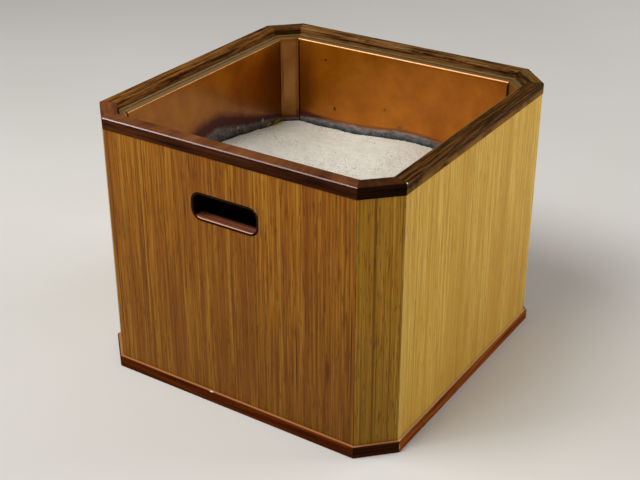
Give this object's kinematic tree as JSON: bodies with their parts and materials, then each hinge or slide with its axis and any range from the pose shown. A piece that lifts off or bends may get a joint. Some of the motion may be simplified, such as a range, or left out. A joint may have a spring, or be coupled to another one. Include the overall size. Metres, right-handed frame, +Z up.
{
  "type": "square hibachi",
  "caption": "Square wooden brazier with cut corners, dark mitred rim and base, recessed hand grips, and a copper liner with a bed of ash that lifts out.",
  "frame": {"origin": "on the ground under the middle of the box", "axes": "+Z up; the front, with one of the two hand grips, faces -Y; +X is to the right seen from the front"},
  "size_m": [0.428, 0.428, 0.342],
  "materials": {
    "veneer": "satin",
    "rosewood": "satin",
    "softwood": "matte",
    "steel": "satin",
    "copper": "satin",
    "ash": "matte"
  },
  "bodies": {
    "box": {"base_rail_front": "rosewood", "base_rail_right": "rosewood", "base_rail_back": "rosewood", "base_rail_left": "rosewood", "base_corner_front_right": "rosewood", "base_corner_back_right": "rosewood", "base_corner_back_left": "rosewood", "base_corner_front_left": "rosewood", "floor_board": "softwood", "floor_screw_front_1": "steel", "floor_screw_front_2": "steel", "floor_screw_right_1": "steel", "floor_screw_right_2": "steel", "floor_screw_back_1": "steel", "floor_screw_back_2": "steel", "floor_screw_left_1": "steel", "floor_screw_left_2": "steel", "panel_front": "veneer", "panel_right": "veneer", "panel_back": "veneer", "panel_left": "veneer", "corner_stile_front_right": "veneer", "corner_stile_back_right": "veneer", "corner_stile_back_left": "veneer", "corner_stile_front_left": "veneer", "grip_lining_front": "rosewood", "grip_lining_back": "rosewood", "grip_backing_front": "rosewood", "grip_backing_back": "rosewood", "rim_rail_front": "rosewood", "rim_rail_right": "rosewood", "rim_rail_back": "rosewood", "rim_rail_left": "rosewood", "rim_corner_front_right": "rosewood", "rim_corner_back_right": "rosewood", "rim_corner_back_left": "rosewood", "rim_corner_front_left": "rosewood", "corner_block_front_right": "softwood", "corner_block_back_right": "softwood", "corner_block_back_left": "softwood", "corner_block_front_left": "softwood", "liner_ledger_front": "softwood", "liner_ledger_right": "softwood", "liner_ledger_back": "softwood", "liner_ledger_left": "softwood"},
    "liner": {"liner_wall_front": "copper", "liner_wall_right": "copper", "liner_wall_back": "copper", "liner_wall_left": "copper", "liner_corner_front_right": "copper", "liner_corner_back_right": "copper", "liner_corner_back_left": "copper", "liner_corner_front_left": "copper", "liner_floor": "copper", "ash_bed": "ash"}
  },
  "joints": [
    {"name": "liner_lift", "type": "slide", "parent": "box", "child": "liner", "axis": [0, 0, 1], "range_m": [0, 0.23]}
  ]
}
